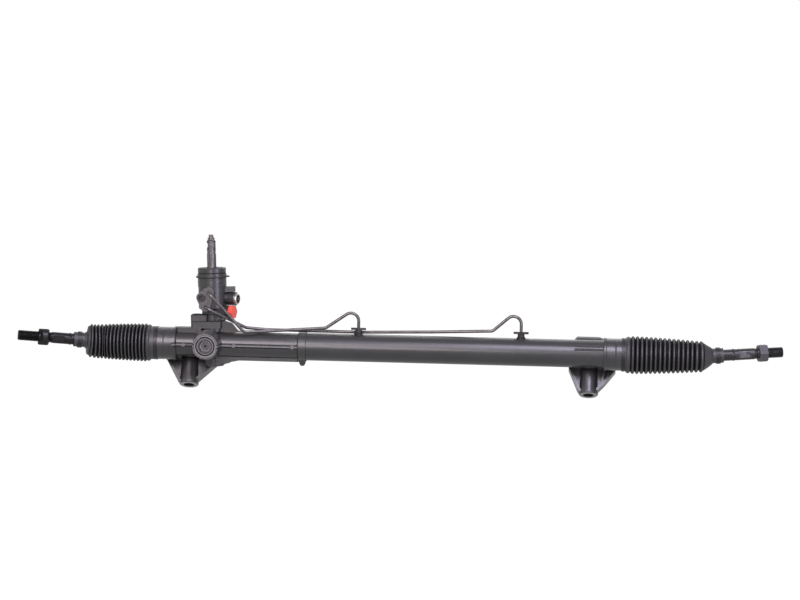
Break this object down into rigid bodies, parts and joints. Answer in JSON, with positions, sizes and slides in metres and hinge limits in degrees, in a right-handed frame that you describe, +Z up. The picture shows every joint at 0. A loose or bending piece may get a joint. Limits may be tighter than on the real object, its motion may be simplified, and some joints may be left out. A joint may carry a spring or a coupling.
{
  "type": "power steering rack",
  "caption": "Hydraulic rack and pinion steering gear with valve tower, cylinder tube, pressure pipes, bellows and jointed tie rods.",
  "frame": {"origin": "centre of the lower mouth of the left mounting bore", "axes": "+X along the rack towards the cylinder end, -Y towards the yoke plug, +Z up the valve tower"},
  "size_m": [1.1479, 0.092, 0.2329],
  "materials": {
    "casting": "satin black paint over die-cast aluminium",
    "tube_paint": "satin black paint over drawn steel tube",
    "valve_casting": "satin black paint over cast iron",
    "dark_steel": "machined steel with a dark phosphate finish",
    "bright_steel": "ground and polished steel",
    "zinc_steel": "zinc plated, bright",
    "rubber": "matt moulded rubber",
    "black_oxide": "black oxide steel, slightly oily",
    "pipe_paint": "dark satin paint over steel pipe",
    "red_plastic": "moulded translucent red plastic",
    "bearing_plastic": "low-friction plastic",
    "bronze": "sintered bronze",
    "seal_rubber": "nitrile rubber",
    "aluminium": "machined aluminium"
  },
  "bodies": {
    "housing": {"gear_housing": "casting", "outer_housing": "casting", "cylinder_tube": "tube_paint", "valve_housing": "valve_casting", "valve_cap": "valve_casting", "input_seal": "seal_rubber", "input_bearing": "bright_steel", "valve_bolts": "black_oxide", "yoke": "aluminium", "yoke_liner": "bearing_plastic", "yoke_spring": "bright_steel", "yoke_plug": "casting", "yoke_o_ring": "seal_rubber", "lower_bearing": "bright_steel", "lower_cap": "black_oxide", "bearing_outer_ring": "bright_steel", "pinion_seal": "seal_rubber", "inner_seal_carrier": "aluminium", "inner_rack_seal": "seal_rubber", "outer_rack_bush": "bronze", "outer_rack_seal": "seal_rubber", "bush_ring": "bright_steel", "port_left": "black_oxide", "port_right": "black_oxide", "pipe_clip_left": "black_oxide", "pipe_clip_right": "black_oxide", "pressure_pipe_left": "pipe_paint", "pressure_pipe_right": "pipe_paint", "pipe_flange": "valve_casting", "flange_bolt": "black_oxide", "port_adapter": "zinc_steel", "port_plug": "red_plastic", "bellows_left": "rubber", "bellows_right": "rubber", "bellows_clamp_left": "black_oxide", "bellows_clamp_right": "black_oxide"},
    "rack": {"rack_bar": "bright_steel", "piston": "dark_steel", "piston_ring": "bearing_plastic", "piston_circlips": "bright_steel", "ball_housing_left": "dark_steel", "ball_housing_right": "dark_steel"},
    "pinion": {"pinion_shaft": "bright_steel", "valve_sleeve": "bright_steel", "sleeve_rings": "bearing_plastic", "bearing_inner_ring": "bright_steel"},
    "bearing_cage": {"bearing_balls": "bright_steel"},
    "input": {"input_shaft": "dark_steel", "torsion_bar": "bright_steel", "torsion_pin": "bright_steel"},
    "ball_seat_left": {"ball_liner_left": "bearing_plastic"},
    "ball_seat_right": {"ball_liner_right": "bearing_plastic"},
    "tie_rod_left": {"tie_rod_left": "black_oxide", "lock_nut_left": "black_oxide", "rod_clamp_left": "black_oxide"},
    "tie_rod_right": {"tie_rod_right": "black_oxide", "lock_nut_right": "black_oxide", "rod_clamp_right": "black_oxide"}
  },
  "joints": [
    {"name": "rack_slide", "type": "slide", "parent": "housing", "child": "rack", "axis": [1, 0, 0], "range_m": [-0.086, 0.055], "deforming": ["bellows_left", "bellows_right"]},
    {"name": "pinion_turn", "type": "hinge", "parent": "housing", "child": "pinion", "pos_m": [0.0355, 0.00855, 0.06285], "axis": [-0.0419, 0, 0.9991], "range_deg": [-616.4, 394.6]},
    {"name": "bearing_cage_turn", "type": "hinge", "parent": "housing", "child": "bearing_cage", "pos_m": [0.0355, 0.00855, 0.06285], "axis": [-0.0419, 0, 0.9991], "range_deg": [-256.7, 164.7]},
    {"name": "valve_twist", "type": "hinge", "parent": "pinion", "child": "input", "pos_m": [0.0355, 0.00855, 0.06285], "axis": [-0.0419, 0, 0.9991], "range_deg": [-4.5, 4.5], "stiffness_Nm_per_rad": 80},
    {"name": "left_joint_fore_aft", "type": "hinge", "parent": "rack", "child": "ball_seat_left", "pos_m": [-0.1275, -0.00595, 0.06285], "axis": [0, 0, 1], "range_deg": [-34, 6]},
    {"name": "left_joint_up_down", "type": "hinge", "parent": "ball_seat_left", "child": "tie_rod_left", "pos_m": [-0.1275, -0.00595, 0.06285], "axis": [-0.2419, 0.9703, 0], "range_deg": [-19, 11]},
    {"name": "right_joint_fore_aft", "type": "hinge", "parent": "rack", "child": "ball_seat_right", "pos_m": [0.764, -0.00595, 0.06285], "axis": [0, 0, 1], "range_deg": [-25, 15]},
    {"name": "right_joint_up_down", "type": "hinge", "parent": "ball_seat_right", "child": "tie_rod_right", "pos_m": [0.764, -0.00595, 0.06285], "axis": [0.0872, -0.9962, 0], "range_deg": [-19.2, 10.8]}
  ],
  "couplings": [
    {"joint": "pinion_turn", "follows": "rack_slide", "rad_per_m": 124.89},
    {"joint": "bearing_cage_turn", "follows": "rack_slide", "rad_per_m": 51.816}
  ]
}
